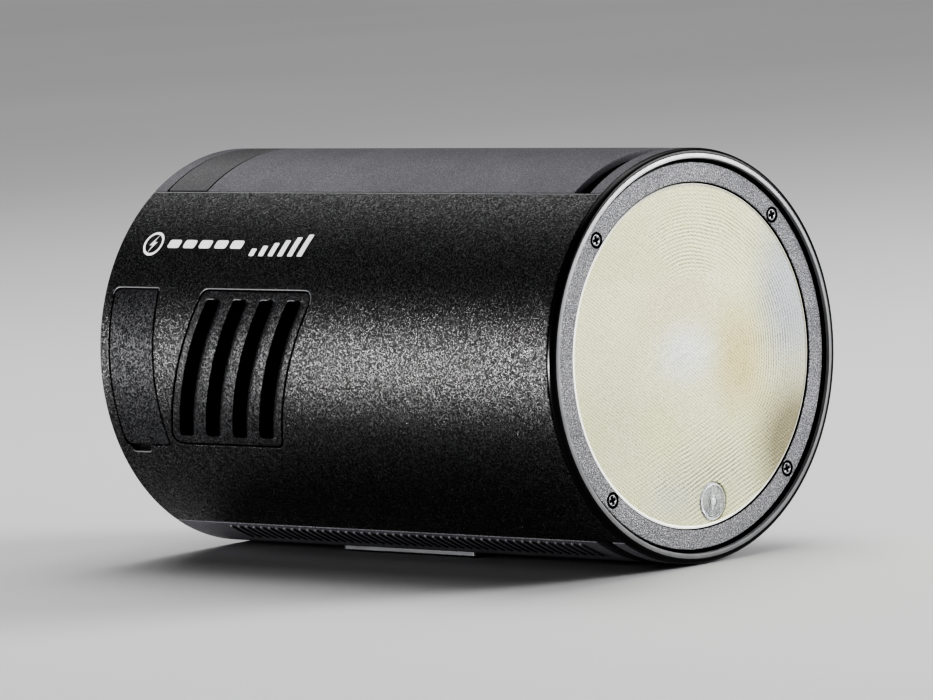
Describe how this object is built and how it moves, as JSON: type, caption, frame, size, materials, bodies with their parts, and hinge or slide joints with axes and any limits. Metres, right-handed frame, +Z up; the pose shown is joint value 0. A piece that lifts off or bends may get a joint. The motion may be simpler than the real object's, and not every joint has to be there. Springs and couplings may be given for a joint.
{
  "type": "monolight strobe",
  "caption": "Pocket-size round-barrel battery strobe: prismatic front lens in a screwed bezel, side vent and port flap, lift-out battery, rear dial and display, flat foot with stand socket.",
  "frame": {"origin": "on the barrel's axis, half way between the front lip and the tops of the rear controls", "axes": "+X along the barrel, the way the light goes; +Z up, away from the stand socket; -Y towards the side with the vent and the port flap"},
  "size_m": [0.12, 0.076, 0.076],
  "materials": {
    "rim_gloss": "gloss",
    "bezel_grey": "satin",
    "screw_steel": "satin",
    "lens_cream": "satin",
    "seal_rubber": "matte",
    "bright_reflector": "polished",
    "tube_glass": "gloss",
    "white_ceramic": "matte",
    "circuit_board": "satin",
    "band_plastic": "satin",
    "window_plastic": "satin",
    "side_plastic": "satin",
    "grille_plastic": "satin",
    "flap_rubber": "matte",
    "plate_aluminium": "satin",
    "socket_brass": "satin",
    "panel_plastic": "satin",
    "display_glass": "gloss",
    "display_panel": "satin",
    "dial_plastic": "satin",
    "key_rubber": "matte",
    "inner_plastic": "matte",
    "contact_gold": "polished",
    "cell_wrap": "satin",
    "capacitor_sleeve": "satin",
    "copper_winding": "satin",
    "sink_aluminium": "satin"
  },
  "bodies": {
    "housing": {"front_rim": "rim_gloss", "lens_bezel": "bezel_grey", "front_lens": "lens_cream", "lens_gasket": "seal_rubber", "reflector": "bright_reflector", "flash_tube": "tube_glass", "tube_socket": "white_ceramic", "modelling_lamp_lens": "tube_glass", "modelling_lamp_board": "circuit_board", "modelling_lamp_emitter": "white_ceramic", "top_cover": "band_plastic", "sensor_window": "window_plastic", "bottom_cover": "band_plastic", "right_side_shell": "side_plastic", "left_side_shell": "side_plastic", "vent_grille": "grille_plastic", "socket_plate": "plate_aluminium", "stand_socket": "socket_brass", "rear_panel": "panel_plastic", "display_window": "display_glass", "display_module": "display_panel", "control_board": "circuit_board", "dial_encoder": "screw_steel", "usb_port": "screw_steel", "sync_jack": "inner_plastic", "light_sensor": "inner_plastic", "radio_module": "circuit_board", "beeper": "inner_plastic", "main_capacitor": "capacitor_sleeve", "power_board": "circuit_board", "transformer": "copper_winding", "heat_sink": "sink_aluminium", "fan_frame": "inner_plastic", "main_chassis": "inner_plastic", "battery_bay": "inner_plastic", "bay_contacts": "contact_gold", "latch_spring": "screw_steel", "bezel_screw_1": "screw_steel", "bezel_screw_2": "screw_steel", "bezel_screw_3": "screw_steel", "bezel_screw_4": "screw_steel", "plate_screw_front": "screw_steel", "plate_screw_rear": "screw_steel"},
    "battery": {"battery_cover": "side_plastic", "battery_tray": "inner_plastic", "battery_contacts": "contact_gold", "battery_cell_upper": "cell_wrap", "battery_cell_lower": "cell_wrap"},
    "latch": {"battery_latch": "flap_rubber"},
    "port_flap": {"port_cover": "flap_rubber"},
    "dial": {"select_dial": "dial_plastic"},
    "set_key": {"set_button": "key_rubber"},
    "power_knob": {"power_switch": "dial_plastic"},
    "fan": {"fan_rotor": "inner_plastic"},
    "lamp_key": {"lamp_button": "key_rubber"},
    "mode_key": {"mode_button": "key_rubber"},
    "group_key": {"group_button": "key_rubber"},
    "test_key": {"test_button": "key_rubber"},
    "wireless_key": {"wireless_button": "key_rubber"},
    "menu_key": {"menu_button": "key_rubber"}
  },
  "joints": [
    {"name": "battery_slide", "type": "slide", "parent": "housing", "child": "battery", "axis": [0, 1, 0], "range_m": [0, 0.045]},
    {"name": "latch_slide", "type": "slide", "parent": "housing", "child": "latch", "axis": [1, 0, 0], "range_m": [0, 0.0025], "stiffness_N_per_m": 600, "deforming": ["latch_spring"]},
    {"name": "port_cover_hinge", "type": "hinge", "parent": "housing", "child": "port_flap", "pos_m": [-0.05105, -0.03508, 0.0146], "axis": [-1, 0, 0], "range_deg": [0, 110]},
    {"name": "dial_spin", "type": "hinge", "parent": "housing", "child": "dial", "pos_m": [-0.0585, 0, -0.014], "axis": [1, 0, 0], "continuous": true},
    {"name": "set_press", "type": "slide", "parent": "housing", "child": "set_key", "axis": [1, 0, 0], "range_m": [0, 0.0005], "stiffness_N_per_m": 900},
    {"name": "lamp_press", "type": "slide", "parent": "housing", "child": "lamp_key", "axis": [1, 0, 0], "range_m": [0, 0.0005], "stiffness_N_per_m": 900},
    {"name": "mode_press", "type": "slide", "parent": "housing", "child": "mode_key", "axis": [1, 0, 0], "range_m": [0, 0.0005], "stiffness_N_per_m": 900},
    {"name": "group_press", "type": "slide", "parent": "housing", "child": "group_key", "axis": [1, 0, 0], "range_m": [0, 0.0005], "stiffness_N_per_m": 900},
    {"name": "test_press", "type": "slide", "parent": "housing", "child": "test_key", "axis": [1, 0, 0], "range_m": [0, 0.0005], "stiffness_N_per_m": 900},
    {"name": "wireless_press", "type": "slide", "parent": "housing", "child": "wireless_key", "axis": [1, 0, 0], "range_m": [0, 0.0005], "stiffness_N_per_m": 900},
    {"name": "menu_press", "type": "slide", "parent": "housing", "child": "menu_key", "axis": [1, 0, 0], "range_m": [0, 0.0005], "stiffness_N_per_m": 900},
    {"name": "power_slide", "type": "slide", "parent": "housing", "child": "power_knob", "axis": [0, -1, 0], "range_m": [0, 0.004]},
    {"name": "fan_spin", "type": "hinge", "parent": "housing", "child": "fan", "pos_m": [-0.0245, -0.0302, 0], "axis": [0, 1, 0], "continuous": true}
  ]
}
